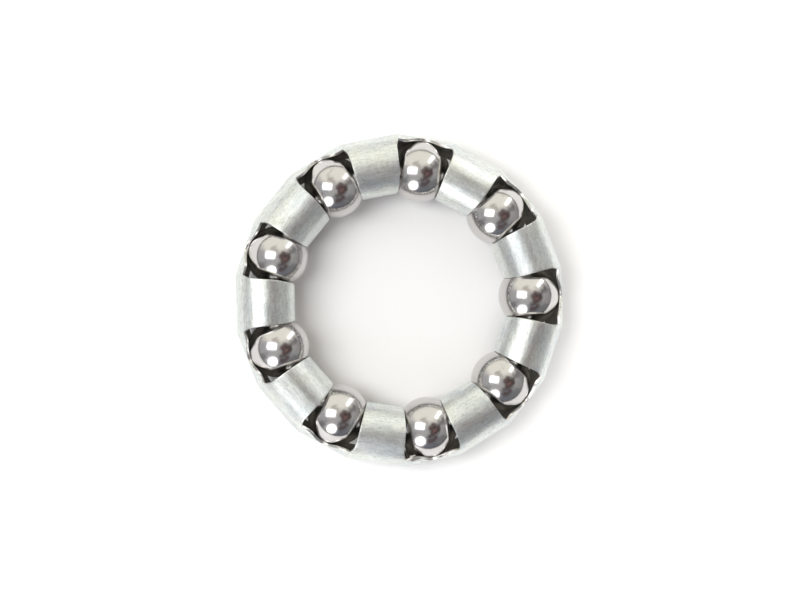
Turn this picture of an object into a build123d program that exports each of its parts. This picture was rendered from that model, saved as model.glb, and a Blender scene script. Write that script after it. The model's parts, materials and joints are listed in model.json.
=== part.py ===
import os
from math import radians, sin, tan

from build123d import *

# Caged ball set for a cup-and-cone thrust race: nine steel balls, each free to
# roll, held by one cage that is bent up from a single strip of sheet steel.
# Millimetres. The origin is the centre of the ball circle, in the plane of the
# ball centres, and +Z points to the closed side of the cage.

# Balls
ball_count = 9
ball_dia = 7.938                    # 5/16 inch
pitch_dia = 34.0                    # circle through the ball centres
ball_clearance = 0.06               # least gap between a ball and the cage
# Play: where each ball lies in its pocket, in degrees round the pitch circle
ball_lean = [0.6, 0.3, 0, -0.9, -0.8, 0, 0.1, 0.7, 0.3]

# Cage strip, bent to a ring of 18 flats: nine bridges and nine ball flats
sheet = 0.42                        # thickness of the strip
across_flats = 42.9                 # outer faces of the rim
bridge_bore = 27.5                  # inner faces of the bridges
lip_radius = 4.6                    # curl of the rim below the ball plane
lip_angle = 44                      # degrees of that curl
rim_angle = 26                      # degrees the rim curls in above a pocket's edge
finger_angle = 16                   # degrees a bridge curls under the ball plane
scallop_radius = 2.24               # dip in the rim's upper edge beside each ball
scallop_floor = 0.45                # height of the dip's lowest point

# Window over each ball, seen along the ring's axis
window_edge = 20.65                 # its outer side, from the ring's axis
window_half_width = 3.88            # at the outer side
window_slope = 13.1                 # degrees its sides close in towards the bore
finger_corner = 0.7

# Where the two ends of the strip meet, in the rim beside the eighth ball
seam_angle = 273.5
seam_gap = 0.08
seam_slant = 74                     # degrees off a square cut
seam_length = 3.0

pitch = 360 / ball_count
half_flat = pitch / 4
ball_radius = ball_dia / 2
pitch_radius = pitch_dia / 2
relief_radius = ball_radius + ball_clearance
rim_radius = across_flats / 2
finger_radius = bridge_bore / 2
bend_radius = (rim_radius - finger_radius) / 2
bend_centre = (rim_radius + finger_radius) / 2
rim_top = (bend_radius - sheet) * sin(radians(rim_angle))
below_fingers = -bend_radius * sin(radians(finger_angle)) - sheet
cut_depth = 2 * bend_radius         # more than the cage's height on either side

os.makedirs("parts", exist_ok=True)


def ring_plane(angle, height=0):
    """Plane square to the ring's axis, with its X pointing outward at this angle."""
    outward = Vector(1, 0, 0).rotate(Axis.Z, angle)
    return Plane(origin=(0, 0, height), x_dir=outward, z_dir=(0, 0, 1))


def side_plane(angle):
    """Plane on the rim at this angle, facing outward, with its Y pointing up."""
    outward = Vector(1, 0, 0).rotate(Axis.Z, angle)
    across = Vector(0, 1, 0).rotate(Axis.Z, angle)
    return Plane(origin=outward * rim_radius, x_dir=across, z_dir=outward)


def mitre_plane(angle):
    """Plane through the ring's axis at this angle, facing round the ring."""
    across = Vector(0, 1, 0).rotate(Axis.Z, angle)
    return Plane(origin=(0, 0, 0), z_dir=across)


def ball_centre(angle):
    """Centre of the ball at this angle."""
    return Vector(pitch_radius, 0, 0).rotate(Axis.Z, angle)


def strip_flat(bend_angle):
    """One mitred flat of the strip, bent inward over this angle above the ball plane."""
    with BuildPart() as flat:
        with BuildSketch(Plane.XZ):
            with BuildLine():
                CenterArc((rim_radius - lip_radius, 0), lip_radius, -lip_angle, lip_angle)
                CenterArc((bend_centre, 0), bend_radius, 0, bend_angle)
                offset(amount=sheet, side=Side.LEFT)
            make_face()
        extrude(amount=rim_radius * tan(radians(half_flat)) + 1, both=True)
        split(bisect_by=mitre_plane(half_flat), keep=Keep.BOTTOM)
        split(bisect_by=mitre_plane(-half_flat), keep=Keep.TOP)
    return flat.part


def window_outline(reach):
    """Half of a window, from its outer side in to the bore, where it flares."""
    width_at_bore = window_half_width - (window_edge - finger_radius) * slope
    width_at_reach = window_half_width + (reach - window_edge) * slope
    finger_end = Vector(0, 1, 0).rotate(Axis.Z, pitch / 2)
    flare = Vector(finger_radius, width_at_bore) + finger_end * width_at_bore
    return Polyline(
        (reach, 0),
        (reach, width_at_reach),
        (finger_radius, width_at_bore),
        (flare.X, flare.Y),
        (flare.X, 0),
    )


slope = tan(radians(window_slope))
pocket_angles = [pitch * i for i in range(ball_count)]
ball_angles = [angle + lean for angle, lean in zip(pocket_angles, ball_lean)]

# The cage
ball_flat = strip_flat(rim_angle)
bridge = strip_flat(180 + finger_angle)
levels = [
    (below_fingers, rim_top - below_fingers, window_edge),    # between the fingers
    (rim_top, cut_depth, rim_radius + sheet),                 # over the rim
]

with BuildPart() as cage:
    with PolarLocations(0, ball_count):
        add(ball_flat)
    with PolarLocations(0, ball_count, start_angle=pitch / 2):
        add(bridge)
    for pocket_angle, ball_angle in zip(pocket_angles, ball_angles):
        for base, height, reach in levels:
            with BuildSketch(ring_plane(pocket_angle, base)):
                with BuildLine():
                    window_outline(reach)
                    mirror(about=Plane.XZ)
                window = make_face()
                fillet(window.vertices().group_by(Axis.X)[1], finger_corner)
            extrude(amount=height, mode=Mode.SUBTRACT)
        with BuildSketch(side_plane(pocket_angle)):
            with Locations((0, scallop_floor + scallop_radius)):
                Circle(scallop_radius)
        extrude(amount=bend_radius / 2, both=True, mode=Mode.SUBTRACT)
        with Locations(ball_centre(ball_angle)):
            Sphere(relief_radius, mode=Mode.SUBTRACT)
    # The two ends of the strip meet on a slant
    with BuildSketch(ring_plane(seam_angle)):
        with Locations(Location((rim_radius - sheet / 2, 0, 0), (0, 0, seam_slant))):
            Rectangle(seam_length, seam_gap)
    extrude(amount=cut_depth, both=True, mode=Mode.SUBTRACT)
cage.part.label = "cage"
export_step(cage.part, "parts/cage.step")

# The balls
for number, angle in enumerate(ball_angles, start=1):
    with BuildPart() as ball:
        with Locations(ball_centre(angle)):
            Sphere(ball_radius)
    ball.part.label = f"ball_{number}"
    export_step(ball.part, f"parts/ball_{number}.step")
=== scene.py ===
import json
import math
import random

import bmesh
import bpy
from mathutils import Matrix, Vector


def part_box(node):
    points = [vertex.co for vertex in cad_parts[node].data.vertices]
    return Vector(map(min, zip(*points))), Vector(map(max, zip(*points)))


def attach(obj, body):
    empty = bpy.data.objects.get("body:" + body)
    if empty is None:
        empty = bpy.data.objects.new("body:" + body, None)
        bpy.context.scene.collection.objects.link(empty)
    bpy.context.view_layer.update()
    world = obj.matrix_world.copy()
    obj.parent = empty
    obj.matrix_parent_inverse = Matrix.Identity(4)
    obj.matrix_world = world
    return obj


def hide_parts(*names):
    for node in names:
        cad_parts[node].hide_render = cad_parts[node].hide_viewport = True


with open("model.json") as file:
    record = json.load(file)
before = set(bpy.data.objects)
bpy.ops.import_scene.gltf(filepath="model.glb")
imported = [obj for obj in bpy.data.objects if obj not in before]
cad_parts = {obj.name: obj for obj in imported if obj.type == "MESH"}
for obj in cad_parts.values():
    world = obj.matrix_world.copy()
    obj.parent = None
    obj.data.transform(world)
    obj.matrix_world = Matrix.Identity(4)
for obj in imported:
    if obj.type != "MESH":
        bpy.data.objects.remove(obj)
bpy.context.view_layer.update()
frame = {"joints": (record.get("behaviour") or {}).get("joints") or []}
mm = 0.001

# where the ball centres are: each ball's hinge goes through its centre
ballPlace = {joint["child"]: Vector(joint["pos_m"]) for joint in frame["joints"]}
lowCorner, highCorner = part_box("ball_1")
ballRadius = (highCorner.z - lowCorner.z) / 2
floorHeight = -ballRadius
pockets = len(ballPlace)
flatTurn = math.pi / pockets            # the strip turns this much at each bend line
halfTurn = flatTurn / 2


def deselectAll():
    if bpy.context.object and bpy.context.object.mode != "OBJECT":
        bpy.ops.object.mode_set(mode="OBJECT")
    bpy.ops.object.select_all(action="DESELECT")


def makeActive(piece):
    deselectAll()
    piece.select_set(True)
    bpy.context.view_layer.objects.active = piece


def startPiece(name):
    # the primitive that was just added becomes a named piece
    piece = bpy.context.object
    piece.name = name
    piece.data.name = name
    return piece


def editMesh(piece, mode="VERT"):
    makeActive(piece)
    bpy.ops.object.mode_set(mode="EDIT")
    bpy.ops.mesh.select_mode(type=mode)
    bpy.ops.mesh.select_all(action="DESELECT")
    return bmesh.from_edit_mesh(piece.data)


def applyModifiers(piece):
    makeActive(piece)
    for modifier in list(piece.modifiers):
        bpy.ops.object.modifier_apply(modifier=modifier.name)


def settle(piece):
    # put the piece's place into its mesh
    makeActive(piece)
    bpy.ops.object.transform_apply(location=True, rotation=True, scale=True)


def newMaterial(name):
    material = bpy.data.materials.new(name)
    material.use_nodes = True
    nodes = material.node_tree.nodes
    return material, nodes, material.node_tree.links, nodes["Principled BSDF"]


def mathNode(tree, operation, first, second=None, third=None):
    node = tree.nodes.new("ShaderNodeMath")
    node.operation = operation
    for socket, value in zip(node.inputs, (first, second, third)):
        if isinstance(value, (int, float)):
            socket.default_value = value
        elif value is not None:
            tree.links.new(value, socket)
    return node.outputs[0]


def noiseNode(tree, place, scale, detail=3, roughness=0.5):
    node = tree.nodes.new("ShaderNodeTexNoise")
    node.inputs["Scale"].default_value = scale
    node.inputs["Detail"].default_value = detail
    node.inputs["Roughness"].default_value = roughness
    tree.links.new(place, node.inputs["Vector"])
    return node


def rampNode(tree, value, stops):
    # stops: position and grey or colour
    node = tree.nodes.new("ShaderNodeValToRGB")
    ramp = node.color_ramp
    while len(ramp.elements) < len(stops):
        ramp.elements.new(0.5)
    for element, (position, colour) in zip(ramp.elements, stops):
        element.position = position
        if isinstance(colour, (int, float)):
            colour = (colour, colour, colour)
        element.color = (*colour, 1)
    tree.links.new(value, node.inputs["Fac"])
    return node.outputs["Color"]


def mixColour(tree, factor, first, second, blend="MIX"):
    node = tree.nodes.new("ShaderNodeMix")
    node.data_type = "RGBA"
    node.blend_type = blend
    for socket, value in zip((node.inputs[0], node.inputs[6], node.inputs[7]), (factor, first, second)):
        if isinstance(value, (int, float)):
            socket.default_value = value
        elif isinstance(value, tuple):
            socket.default_value = (*value, 1)
        else:
            tree.links.new(value, socket)
    return node.outputs[2]


def startGroup(name, inputs, outputs):
    # a shader node group with named sockets
    group = bpy.data.node_groups.new(name, "ShaderNodeTree")
    for label, kind, value in inputs:
        socket = group.interface.new_socket(name=label, in_out="INPUT", socket_type=kind)
        if value is not None:
            socket.default_value = value
    for label, kind in outputs:
        group.interface.new_socket(name=label, in_out="OUTPUT", socket_type=kind)
    return group, group.nodes.new("NodeGroupInput"), group.nodes.new("NodeGroupOutput")


patternStep = 0.37      # metres from one flat's pattern to the next, so that no two look alike


def makeStripGroup():
    # place on the strip: across the strip, up, and along it, from the flat that a point is on
    group, given, result = startGroup("stripPlace", [("Along", "NodeSocketFloat", 0.1)],
                                      [("Place", "NodeSocketVector")])
    coordinates = group.nodes.new("ShaderNodeTexCoord")
    split = group.nodes.new("ShaderNodeSeparateXYZ")
    group.links.new(coordinates.outputs["Object"], split.inputs[0])
    x, y, z = split.outputs
    turn = mathNode(group, "ARCTAN2", y, x)
    reach = mathNode(group, "POWER", mathNode(group, "ADD", mathNode(group, "MULTIPLY", x, x),
                                              mathNode(group, "MULTIPLY", y, y)), 0.5)
    flat = mathNode(group, "ROUND", mathNode(group, "DIVIDE", turn, flatTurn))
    offset = mathNode(group, "SUBTRACT", turn, mathNode(group, "MULTIPLY", flat, flatTurn))
    across = mathNode(group, "MULTIPLY", reach, mathNode(group, "COSINE", offset))
    along = mathNode(group, "MULTIPLY", mathNode(group, "MULTIPLY", reach, mathNode(group, "SINE", offset)),
                     given.outputs["Along"])
    join = group.nodes.new("ShaderNodeCombineXYZ")
    group.links.new(across, join.inputs[0])
    group.links.new(z, join.inputs[1])
    step = mathNode(group, "MULTIPLY", flat, patternStep)
    group.links.new(mathNode(group, "ADD", along, step), join.inputs[2])
    group.links.new(join.outputs[0], result.inputs[0])
    return group


def addStripPlace(tree, along):
    node = tree.nodes.new("ShaderNodeGroup")
    node.node_tree = stripPlace
    node.inputs["Along"].default_value = along
    return node.outputs["Place"]


ballFinish = {
    "colour": (0.63, 0.615, 0.605),
    "roughness": (0.064, 0.256),
    "hazeScale": 260,
    "stainScale": 520,
    "stain": 0.80,          # the darkest stains keep this much of the colour
    "scuffScale": 900,
    "scuffBump": 0.02,
    "scuffDepth": 0.02 * mm,
}


def ballSteel():
    material, nodes, links, shader = newMaterial("polishedBallSteel")
    tree = material.node_tree
    place = nodes.new("ShaderNodeTexCoord").outputs["Object"]
    shader.inputs["Metallic"].default_value = 1
    haze = noiseNode(tree, place, ballFinish["hazeScale"], 4, 0.6).outputs["Fac"]
    stain = rampNode(tree, noiseNode(tree, place, ballFinish["stainScale"], 5, 0.65).outputs["Fac"],
                     [(0.30, ballFinish["stain"]), (0.42, 1.0), (1.0, 1.0)])
    colour = mixColour(tree, 1.0, ballFinish["colour"], stain, "MULTIPLY")
    links.new(colour, shader.inputs["Base Color"])
    low, high = ballFinish["roughness"]
    links.new(mathNode(tree, "MULTIPLY_ADD", haze, high - low, low), shader.inputs["Roughness"])
    scuff = noiseNode(tree, place, ballFinish["scuffScale"], 2).outputs["Fac"]
    bump = nodes.new("ShaderNodeBump")
    bump.inputs["Strength"].default_value = ballFinish["scuffBump"]
    bump.inputs["Distance"].default_value = ballFinish["scuffDepth"]
    links.new(scuff, bump.inputs["Height"])
    links.new(bump.outputs["Normal"], shader.inputs["Normal"])
    return material


cageFinish = {
    "light": (0.85, 0.88, 0.86),
    "cool": (0.77, 0.82, 0.82),
    "warm": (0.82, 0.85, 0.79),
    "metallic": 0.93,
    "roughness": (0.26, 0.46),
    "fineAlong": 0.16,      # how drawn out the lines are along the strip, 1 for not at all
    "broadAlong": 0.7,
    "streakScale": 5200,    # drawing lines along the strip
    "grainScale": 4200,     # the plating's grain
    "bandScale": 900,
    "stainScale": 380,
    "pitScale": 1150,
    # where each pattern is darkest and how dark, and where it is clear
    "streakShade": [(0.32, 0.80), (0.56, 1.0)],
    "grainShade": [(0.32, 0.78), (0.52, 1.0)],
    "bandShade": [(0.34, 0.88), (0.60, 1.0)],
    "pitShade": [(0.25, 0.40), (0.35, 1.0)],
    "stainRelief": 2.0,     # how far the stains stand up, against the lines and the grain
    "bump": 0.75,
    "bumpDepth": 0.03 * mm,
}


def cageSteel():
    # zinc plate with drawing lines along the strip, faint stains and small pits
    material, nodes, links, shader = newMaterial("brightZincSteel")
    tree = material.node_tree
    shader.inputs["Metallic"].default_value = cageFinish["metallic"]
    fine = addStripPlace(tree, cageFinish["fineAlong"])
    broad = addStripPlace(tree, cageFinish["broadAlong"])
    streaks = noiseNode(tree, fine, cageFinish["streakScale"], 3, 0.65).outputs["Fac"]
    bands = noiseNode(tree, fine, cageFinish["bandScale"], 3, 0.6).outputs["Fac"]
    grain = noiseNode(tree, broad, cageFinish["grainScale"], 3, 0.7).outputs["Fac"]
    stains = noiseNode(tree, broad, cageFinish["stainScale"], 4, 0.6).outputs["Fac"]
    pits = noiseNode(tree, broad, cageFinish["pitScale"], 4, 0.75).outputs["Fac"]
    colour = rampNode(tree, stains, [(0.36, cageFinish["cool"]), (0.50, cageFinish["light"]),
                                     (0.68, cageFinish["warm"])])
    for pattern, shade in ((streaks, "streakShade"), (grain, "grainShade"),
                           (bands, "bandShade"), (pits, "pitShade")):
        colour = mixColour(tree, 1.0, colour, rampNode(tree, pattern, cageFinish[shade]), "MULTIPLY")
    links.new(colour, shader.inputs["Base Color"])
    low, high = cageFinish["roughness"]
    links.new(mathNode(tree, "MULTIPLY_ADD", bands, high - low, low), shader.inputs["Roughness"])
    bump = nodes.new("ShaderNodeBump")
    bump.inputs["Strength"].default_value = cageFinish["bump"]
    bump.inputs["Distance"].default_value = cageFinish["bumpDepth"]
    height = mathNode(tree, "MULTIPLY_ADD", stains, cageFinish["stainRelief"],
                      mathNode(tree, "ADD", streaks, grain))
    links.new(height, bump.inputs["Height"])
    links.new(bump.outputs["Normal"], shader.inputs["Normal"])
    return material


insideFinish = {
    "film": (0.26, 0.25, 0.21),
    "bare": (0.42, 0.40, 0.35),
    "roughness": (0.26, 0.51),
    "filmAlong": 0.5,
    "filmScale": 500,
    "lowest": -3.0 * mm,    # painted shade: the inner face is darkest this low in the lip, where the hollow under the bridges is deepest and the oil gathers, and clears up to the highest
    "highest": 1.0 * mm,
    "paintedShadeKept": 0.30,       # how much colour the painted shade keeps at its darkest, low in the lip
}


def insideSteel():
    # the inner face keeps a brown film of oil, and is painted darker towards the bottom of the lip as painted
    # shade of the hollow
    material, nodes, links, shader = newMaterial("oiledZincSteelPaintedShade")
    tree = material.node_tree
    shader.inputs["Metallic"].default_value = 1
    place = addStripPlace(tree, insideFinish["filmAlong"])
    film = noiseNode(tree, place, insideFinish["filmScale"], 4, 0.6).outputs["Fac"]
    face = rampNode(tree, film, [(0.35, insideFinish["film"]), (0.65, insideFinish["bare"])])
    split = nodes.new("ShaderNodeSeparateXYZ")
    links.new(place, split.inputs[0])
    # painted shade: the colour darkens towards the bottom of the lip, where the hollow is in shade
    span = insideFinish["highest"] - insideFinish["lowest"]
    height = mathNode(tree, "MULTIPLY_ADD", split.outputs["Y"], 1 / span, -insideFinish["lowest"] / span)
    depth = rampNode(tree, height, [(0.2, insideFinish["paintedShadeKept"]), (0.9, 1.0)])
    links.new(mixColour(tree, 1.0, face, depth, "MULTIPLY"), shader.inputs["Base Color"])
    low, high = insideFinish["roughness"]
    links.new(mathNode(tree, "MULTIPLY_ADD", film, high - low, low), shader.inputs["Roughness"])
    return material


edgeFinish = {
    "bright": (0.90, 0.90, 0.88),
    "dull": (0.62, 0.61, 0.57),
    "roughness": (0.2, 0.4),
    "wearAlong": 1.0,
    "wearScale": 1200,
}


def cutEdgeSteel():
    material, nodes, links, shader = newMaterial("cutEdgeSteel")
    tree = material.node_tree
    shader.inputs["Metallic"].default_value = 1
    place = addStripPlace(tree, edgeFinish["wearAlong"])
    wear = noiseNode(tree, place, edgeFinish["wearScale"], 3, 0.6).outputs["Fac"]
    links.new(rampNode(tree, wear, [(0.36, edgeFinish["dull"]), (0.52, edgeFinish["bright"])]),
              shader.inputs["Base Color"])
    low, high = edgeFinish["roughness"]
    links.new(mathNode(tree, "MULTIPLY_ADD", wear, high - low, low), shader.inputs["Roughness"])
    return material


cageShape = {
    "rimRadius": 21.45 * mm,
    "fingerRadius": 13.75 * mm,
    "sheet": 0.42 * mm,
    "lipRadius": 4.6 * mm,
    "lipAngle": 49,         # degrees that the lip curls in below the rim
    "lipRows": 7,
    "bendStep": 5,          # degrees of the bend for each row of faces
    "fingerAngle": 195,     # where a bridge ends, degrees round the bend
    "rimAngle": 35,         # where the rim ends in a pocket's corner
    "rimDip": 28,           # how many degrees lower it ends beside the ball
    "dipWidth": 0.72,       # share of the flat that dips
    "columns": 10,          # faces across one flat
    # half width of a bridge in millimetres at these degrees round its bend
    "bridgeHalfWidth": [(35, 3.70), (40, 3.60), (45, 3.43), (50, 3.32), (55, 3.25), (75, 3.10), (100, 2.96),
                        (120, 2.79), (140, 2.60), (160, 2.42), (180, 2.28), (190, 2.18), (195, 1.98)],
    "crownSpread": 0.03,    # how much one bridge may be flatter than another
    "mergeGap": 0.02 * mm,
    "unevenness": 0.05 * mm,
    "dentSize": 3.2 * mm,
    "edgeRound": 0.06 * mm,
    "sharpAngle": 50,       # edges sharper than this are rounded
    "ballRoom": 0.02 * mm,
}
bendRadius = (cageShape["rimRadius"] - cageShape["fingerRadius"]) / 2
bendCentre = (cageShape["rimRadius"] + cageShape["fingerRadius"]) / 2
sameAngle = 1e-4        # radians
samePlace = 1e-6        # metres


def onFlat(place):
    # which of the segment's two flats a point is on, how far round the bend, and its place there
    flat = 1 if math.atan2(place.y, place.x) > halfTurn + sameAngle else 0
    local = Matrix.Rotation(-flat * flatTurn, 4, "Z") @ place
    bend = math.degrees(math.atan2(local.z, local.x - bendCentre))
    if local.x < bendCentre and bend < 0:
        bend += 360
    return flat, bend, local


def lookUp(table, at):
    # straight-line reading of a table of pairs
    for (low, first), (high, second) in zip(table, table[1:]):
        if low <= at <= high:
            return first + (second - first) * (at - low) / (high - low)
    return table[0][1] if at < table[0][0] else table[-1][1]


def selectVerts(mesh, chosen):
    bpy.ops.mesh.select_all(action="DESELECT")
    for vertex in chosen:
        vertex.select = True
    mesh.select_flush_mode()


def makeProfile():
    # the strip's outer face in section: a bend cut from a circle, then the lip
    shape = cageShape
    deselectAll()
    bpy.ops.mesh.primitive_circle_add(vertices=360 // shape["bendStep"], radius=bendRadius,
                                      location=(bendCentre, 0, 0), rotation=(math.radians(90), 0, 0))
    profile = startPiece("cage_pressed")
    settle(profile)
    mesh = editMesh(profile)
    selectVerts(mesh, [v for v in mesh.verts if shape["fingerAngle"] + 1 < onFlat(v.co)[1] % 360 < 359])
    bpy.ops.mesh.delete(type="VERT")
    steps = []
    turn = math.radians(shape["lipAngle"] / shape["lipRows"])
    for number in range(shape["lipRows"]):
        low, high = turn * (number + 1), turn * number
        step = Vector((math.cos(low) - math.cos(high), 0, math.sin(high) - math.sin(low)))
        steps.append(step * shape["lipRadius"])
    mesh = bmesh.from_edit_mesh(profile.data)
    selectVerts(mesh, [max(mesh.verts, key=lambda v: v.co.x)])
    for step in steps:
        bpy.ops.mesh.extrude_region_move(TRANSFORM_OT_translate={"value": step})
    return profile


def makeSegment():
    # one bridge, centred on +X, and the flat beside it that a ball lies against
    shape = cageShape
    segment = makeProfile()
    editMesh(segment)
    bpy.ops.mesh.select_all(action="SELECT")
    # the outline is stretched to lie on the bend line between two flats
    bpy.ops.transform.resize(value=(1 / math.cos(halfTurn), 1, 1), center_override=(0, 0, 0))
    bpy.ops.transform.rotate(value=halfTurn, orient_axis="Z", center_override=(0, 0, 0))
    bpy.ops.mesh.spin(steps=2, angle=-2 * flatTurn, center=(0, 0, 0), axis=(0, 0, 1))
    mesh = bmesh.from_edit_mesh(segment.data)
    bpy.ops.mesh.select_all(action="DESELECT")
    bpy.ops.mesh.select_mode(type="EDGE")
    for edge in mesh.edges:
        first, second = (vertex.co for vertex in edge.verts)
        level = abs(first.z - second.z) < samePlace
        turned = abs(math.atan2(first.y, first.x) - math.atan2(second.y, second.x)) > halfTurn
        edge.select = level and turned
    bpy.ops.mesh.subdivide(number_cuts=shape["columns"] - 1)

    mesh = bmesh.from_edit_mesh(segment.data)
    bpy.ops.mesh.select_mode(type="FACE")
    bpy.ops.mesh.select_all(action="DESELECT")
    for face in mesh.faces:
        flat, bend, local = onFlat(face.calc_center_median())
        face.select = flat == 1 and bend > shape["rimAngle"]
    bpy.ops.mesh.delete(type="FACE")

    # sides of the bridge, drawn in row by row
    mesh = bmesh.from_edit_mesh(segment.data)
    bpy.ops.mesh.select_mode(type="VERT")
    for row in range(shape["rimAngle"] + shape["bendStep"], shape["fingerAngle"] + 1, shape["bendStep"]):
        chosen = [v for v in mesh.verts if onFlat(v.co)[0] == 0 and abs(onFlat(v.co)[1] - row) < 1]
        full = max(v.co.y for v in chosen)
        selectVerts(mesh, chosen)
        bpy.ops.transform.resize(value=(1, lookUp(shape["bridgeHalfWidth"], row) * mm / full, 1),
                                 center_override=(0, 0, 0))

    # the rim's edge dips beside the ball
    halfFlat = shape["rimRadius"] * math.tan(halfTurn)
    for vertex in list(mesh.verts):
        flat, bend, local = onFlat(vertex.co)
        share = abs(local.y) / halfFlat / shape["dipWidth"]
        if flat == 1 and bend > 1 and share < 1:
            lower = bend * (1 - shape["rimDip"] / shape["rimAngle"] * (0.5 + 0.5 * math.cos(math.pi * share)))
            place = Vector((bendCentre, local.y, 0))
            place.x += bendRadius * math.cos(math.radians(lower))
            place.z = bendRadius * math.sin(math.radians(lower))
            selectVerts(mesh, [vertex])
            bpy.ops.transform.translate(value=Matrix.Rotation(flatTurn, 4, "Z") @ (place - local))
    bpy.ops.object.mode_set(mode="OBJECT")
    return segment


seamShape = {
    "pocket": 8,
    "column": -0.7,         # where the strip is cut, as a share of half the flat
    "columnStep": 0.1,      # from the middle of a face to its sides
    "columnReach": 0.07,    # how far off a point may be and still count
    "topShare": 0.52,       # the strip's edge is below this share of the bend's radius
    "endRows": 2,
    "stubReach": 1.35 * mm,
    "stubLift": 0.10 * mm,
    "tuckReach": 0.75 * mm,
    "tuckDrop": 0.05 * mm,
    "tuckDepths": [(-0.6, 0.46), (-0.4, 0.24), (-0.2, 0.08)],     # share of half the flat, millimetres
    "nickPocket": 9,
    "nickBase": 0.75 * mm,
    "nickColumns": [(0.8, 0.55), (0.6, 0.82)],      # share of half the flat, share of the height kept
}


def onRim(place, pocket, share):
    # a point of the strip below a pocket's opening, this share of the way to the flat's side
    local = Matrix.Rotation(-2 * flatTurn * (pocket - 1), 4, "Z") @ place
    if local.x < bendCentre or local.z > bendRadius * seamShape["topShare"]:
        return False
    return abs(local.y / (local.x * math.tan(halfTurn)) - share) < seamShape["columnReach"]


def bendSeam(cage):
    # the strip's two ends overlap beside a ball: the outer end runs over the inner one, which is tucked in
    shape = seamShape
    pocket = shape["pocket"]
    frameTurn = Matrix.Rotation(2 * flatTurn * (pocket - 1), 4, "Z")
    outward, along = frameTurn @ Vector((1, 0, 0)), frameTurn @ Vector((0, 1, 0))
    mesh = editMesh(cage)
    bpy.ops.mesh.select_mode(type="FACE")
    for face in mesh.faces:
        face.select = onRim(face.calc_center_median(), pocket, shape["column"])
    bpy.ops.mesh.delete(type="FACE")
    bpy.ops.mesh.select_mode(type="VERT")
    mesh = bmesh.from_edit_mesh(cage.data)
    for share, depth in shape["tuckDepths"]:
        selectVerts(mesh, [v for v in mesh.verts if onRim(v.co, pocket, share)])
        bpy.ops.transform.translate(value=-outward * depth * mm)
    # the tucked end is moved, so it is found again by its open edge
    stub = along * shape["stubReach"] + outward * shape["stubLift"]
    tuck = -along * shape["tuckReach"] - outward * shape["tuckDrop"]
    ends = [(shape["column"] - shape["columnStep"], stub), (shape["column"] + shape["columnStep"], tuck)]
    for share, step in ends:
        mesh = bmesh.from_edit_mesh(cage.data)
        bpy.ops.mesh.select_mode(type="EDGE")
        bpy.ops.mesh.select_all(action="DESELECT")
        for edge in mesh.edges:
            edge.select = edge.is_boundary and all(onRim(v.co, pocket, share) for v in edge.verts)
        for row in range(shape["endRows"]):
            bpy.ops.mesh.extrude_region_move(TRANSFORM_OT_translate={"value": step / shape["endRows"]})
    bpy.ops.mesh.select_mode(type="VERT")
    # a nick in the rim's edge beside the next ball
    mesh = bmesh.from_edit_mesh(cage.data)
    base = shape["nickBase"]
    for share, kept in shape["nickColumns"]:
        selectVerts(mesh, [v for v in mesh.verts
                           if onRim(v.co, shape["nickPocket"], share) and v.co.z > base])
        bpy.ops.transform.resize(value=(1, 1, kept), center_override=(0, 0, base))
    bpy.ops.object.mode_set(mode="OBJECT")


def clearBalls(cage):
    # the sheet gives way round each ball, so that each can turn
    room = ballRadius + cageShape["ballRoom"]
    for place in ballPlace.values():
        for vertex in cage.data.vertices:
            away = vertex.co - place
            if away.length < room:
                vertex.co = place + away.normalized() * room


def makeCage():
    shape = cageShape
    segment = makeSegment()
    copies = []
    for number in range(pockets):
        deselectAll()
        copy = segment.copy()
        copy.data = segment.data.copy()
        bpy.context.collection.objects.link(copy)
        # no two bridges are quite as high
        mesh = editMesh(copy)
        selectVerts(mesh, [v for v in mesh.verts if onFlat(v.co)[1] > shape["rimAngle"] + 1])
        kept = 1 - shape["crownSpread"] * dice.random()
        bpy.ops.transform.resize(value=(1, 1, kept), center_override=(0, 0, 0))
        bpy.ops.object.mode_set(mode="OBJECT")
        copy.rotation_euler.z = 2 * flatTurn * (number + 0.5)
        settle(copy)
        copies.append(copy)
    bpy.data.objects.remove(segment)
    deselectAll()
    for copy in copies:
        copy.select_set(True)
    bpy.context.view_layer.objects.active = copies[0]
    bpy.ops.object.join()
    cage = startPiece("cage_pressed")
    editMesh(cage)
    bpy.ops.mesh.select_all(action="SELECT")
    bpy.ops.mesh.remove_doubles(threshold=shape["mergeGap"])
    bpy.ops.mesh.normals_make_consistent(inside=False)
    mesh = bmesh.from_edit_mesh(cage.data)
    outermost = max(mesh.faces, key=lambda f: f.calc_center_median().xy.length)
    if outermost.normal.xy.dot(outermost.calc_center_median().xy) < 0:
        bpy.ops.mesh.flip_normals()
    bpy.ops.object.mode_set(mode="OBJECT")
    bendSeam(cage)

    for material in (zincSteel, oiledPaintedShadeSteel, cutSteel):
        cage.data.materials.append(material)
    dents = bpy.data.textures.new("dents", "CLOUDS")
    dents.noise_scale = shape["dentSize"]
    push = cage.modifiers.new("dents", "DISPLACE")
    push.texture = dents
    push.strength = shape["unevenness"]
    push.mid_level = 1.0
    wall = cage.modifiers.new("sheet", "SOLIDIFY")
    wall.thickness = shape["sheet"]
    wall.offset = -1
    wall.use_even_offset = True
    # the inner faces get the oiled steel with its painted shade low in the lip
    wall.material_offset = 1
    wall.material_offset_rim = 2
    rounding = cage.modifiers.new("rounding", "BEVEL")
    rounding.width = shape["edgeRound"]
    rounding.segments = 2
    rounding.limit_method = "ANGLE"
    rounding.angle_limit = math.radians(shape["sharpAngle"])
    smooth = cage.modifiers.new("smooth", "SUBSURF")
    smooth.levels = smooth.render_levels = 1
    applyModifiers(cage)
    clearBalls(cage)
    bpy.ops.object.shade_smooth()
    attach(cage, "cage")
    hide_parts("cage")
    print("cage made:", len(cage.data.polygons), "faces")


ballShape = {"cuts": 23}


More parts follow.
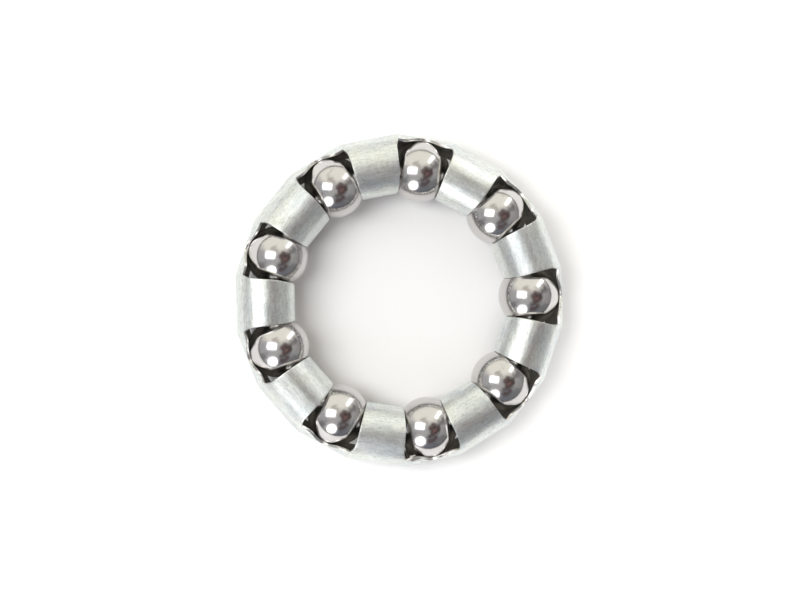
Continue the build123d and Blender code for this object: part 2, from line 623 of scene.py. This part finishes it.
def makeBall(name, place):
    deselectAll()
    bpy.ops.mesh.primitive_cube_add(size=2 * ballRadius, location=place)
    ball = startPiece(name + "_polished")
    editMesh(ball)
    bpy.ops.mesh.select_all(action="SELECT")
    bpy.ops.mesh.subdivide(number_cuts=ballShape["cuts"])
    bpy.ops.transform.tosphere(value=1)
    bpy.ops.object.mode_set(mode="OBJECT")
    # tosphere keeps the mean distance, so the size is set again
    radius = max(vertex.co.length for vertex in ball.data.vertices)
    ball.data.transform(Matrix.Scale(ballRadius / radius, 4))
    bpy.ops.object.shade_smooth()
    settle(ball)
    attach(ball, name)
    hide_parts(name)
    return ball


dice = random.Random(7)
stripPlace = makeStripGroup()
zincSteel = cageSteel()
oiledPaintedShadeSteel = insideSteel()
cutSteel = cutEdgeSteel()
makeCage()
steel = ballSteel()
for name, place in sorted(ballPlace.items()):
    makeBall(name, place).data.materials.append(steel)
print("balls made:", len(ballPlace))

stageSetup = {
    "floorSize": 3.0,
    "floorColour": (0.86, 0.86, 0.86, 1),
    "floorRoughness": 0.6,
}


def makeFloor():
    deselectAll()
    bpy.ops.mesh.primitive_plane_add(size=stageSetup["floorSize"], location=(0, 0, floorHeight))
    floor = startPiece("floor")
    material, nodes, links, shader = newMaterial("paleTable")
    shader.inputs["Base Color"].default_value = stageSetup["floorColour"]
    shader.inputs["Roughness"].default_value = stageSetup["floorRoughness"]
    floor.data.materials.append(material)
    settle(floor)


def fromZenith(zenith, azimuth, distance=1):
    # a point that far from the ring's centre, measured down from straight up
    down, turn = math.radians(zenith), math.radians(azimuth)
    level = math.sin(down)
    return Vector((level * math.cos(turn), level * math.sin(turn), math.cos(down))) * distance


lightSetup = {
    # zenith, azimuth, distance, width, height, watts, shape
    "tallWindow": (33, 172, 0.6, 0.25, 0.38, 1.1, "RECTANGLE"),
    "lowWindow": (64, 242, 0.6, 0.34, 0.46, 1.0, "ELLIPSE"),
    "topStrip": (64, 47, 0.6, 0.09, 0.42, 0.35, "RECTANGLE"),
}


def makeLight(name, zenith, azimuth, distance, width, height, power, shape):
    data = bpy.data.lights.new(name, "AREA")
    data.shape = shape
    data.size = width
    data.size_y = height
    data.energy = power
    light = bpy.data.objects.new(name, data)
    bpy.context.collection.objects.link(light)
    light.location = fromZenith(zenith, azimuth, distance)
    light.rotation_euler = (-light.location).to_track_quat("-Z", "Y").to_euler()
    light.visible_camera = False
    return light


# these brighten the table, and the steel doesn't reflect them
fillSetup = {
    "windowFill": (36, 172, 0.6, 0.26, 0.40, 1.4, "RECTANGLE"),
    "lowFill": (64, 242, 0.6, 0.34, 0.46, 0.4, "ELLIPSE"),
    "rightFill": (78, -5, 0.6, 0.5, 0.08, 3.4, "RECTANGLE"),
    "nearFill": (78, -50, 0.6, 0.4, 0.08, 1.2, "RECTANGLE"),
}


def makeFill(name, *setup):
    makeLight(name, *setup).visible_glossy = False


roomSetup = {
    "base": (0.55, 0.545, 0.54),
    "horizon": [(0.0, 0.12), (0.05, 0.15), (0.14, 1.0)],    # height of a direction, brightness
    "wander": 0.38,         # how uneven the patches' outlines are
    "wanderScale": 3.2,
    # soft patches: zenith, azimuth, inner and outer edge in degrees, colour
    "patches": [
        (68, 95, 38, 66, (1.15, 1.12, 1.01)),     # pale wall beyond the ring
        (30, 115, 9, 20, (0.62, 0.58, 0.53)),
        (62, 200, 22, 45, (0.50, 0.50, 0.51)),    # left
        (78, 205, 4, 14, (0.25, 0.25, 0.26)),
        (75, 290, 30, 58, (0.20, 0.21, 0.24)),    # near side
        (58, 322, 8, 20, (0.42, 0.42, 0.43)),
        (60, 22, 9, 24, (0.24, 0.23, 0.23)),      # right
        (74, -8, 10, 26, (0.38, 0.38, 0.37)),
        (74, -42, 9, 24, (0.24, 0.24, 0.25)),
        (24, -20, 16, 29, (0.095, 0.07, 0.065)),  # dark stand over the table
        (15, -20, 2, 9, (0.24, 0.14, 0.135)),
        (44, -70, 9, 18, (0.13, 0.10, 0.10)),
    ],
}


def makeWorld():
    world = bpy.data.worlds.new("studio")
    bpy.context.scene.world = world
    world.use_nodes = True
    tree = world.node_tree
    background = tree.nodes["Background"]
    direction = tree.nodes.new("ShaderNodeTexCoord").outputs["Generated"]
    wander = noiseNode(tree, direction, roomSetup["wanderScale"], 3, 0.55).outputs["Color"]
    centred = tree.nodes.new("ShaderNodeVectorMath")
    centred.operation = "MULTIPLY_ADD"
    centred.inputs[1].default_value = (roomSetup["wander"],) * 3
    centred.inputs[2].default_value = (-roomSetup["wander"] / 2,) * 3
    tree.links.new(wander, centred.inputs[0])
    moved = tree.nodes.new("ShaderNodeVectorMath")
    moved.operation = "ADD"
    tree.links.new(direction, moved.inputs[0])
    tree.links.new(centred.outputs[0], moved.inputs[1])
    colour = roomSetup["base"]
    for zenith, azimuth, inner, outer, patch in roomSetup["patches"]:
        dot = tree.nodes.new("ShaderNodeVectorMath")
        dot.operation = "DOT_PRODUCT"
        dot.inputs[1].default_value = fromZenith(zenith, azimuth)
        tree.links.new(moved.outputs[0], dot.inputs[0])
        ease = tree.nodes.new("ShaderNodeMapRange")
        ease.interpolation_type = "SMOOTHSTEP"
        ease.inputs["From Min"].default_value = math.cos(math.radians(outer))
        ease.inputs["From Max"].default_value = math.cos(math.radians(inner))
        tree.links.new(dot.outputs["Value"], ease.inputs["Value"])
        colour = mixColour(tree, ease.outputs["Result"], colour, patch)
    # the room is darker just above the table
    height = tree.nodes.new("ShaderNodeSeparateXYZ")
    tree.links.new(direction, height.inputs[0])
    horizon = rampNode(tree, height.outputs[2], roomSetup["horizon"])
    colour = mixColour(tree, 1.0, colour, horizon, "MULTIPLY")
    tree.links.new(colour, background.inputs["Color"])
    background.inputs["Strength"].default_value = 1.0


makeFloor()
makeWorld()
for name, setup in lightSetup.items():
    makeLight(name, *setup)
for name, setup in fillSetup.items():
    makeFill(name, *setup)
print("stage and lights made")

cameraSetup = {
    "distance": 0.38,
    "tiltSide": -6.1,       # degrees off the ring's axis, towards -X
    "tiltFront": -0.7,
    "roll": 1.33,
    "viewWidth": 104.72 * mm,       # at the ring
    "sensor": 36,           # millimetres, as the camera's own settings count it
}


def makeCamera():
    data = bpy.data.cameras.new("topCamera")
    camera = bpy.data.objects.new("topCamera", data)
    bpy.context.collection.objects.link(camera)
    side, front = math.radians(cameraSetup["tiltSide"]), math.radians(cameraSetup["tiltFront"])
    roll = math.radians(cameraSetup["roll"])
    turn = (Matrix.Rotation(-roll, 4, "Z") @ Matrix.Rotation(side, 4, "Y")
            @ Matrix.Rotation(-front, 4, "X"))
    camera.matrix_world = turn @ Matrix.Translation((0, 0, cameraSetup["distance"]))
    data.sensor_width = cameraSetup["sensor"]
    data.lens = cameraSetup["sensor"] * cameraSetup["distance"] / cameraSetup["viewWidth"]
    data.clip_start = 0.01
    data.clip_end = 10
    bpy.context.scene.camera = camera


makeCamera()
bpy.context.scene.view_settings.view_transform = "Standard"
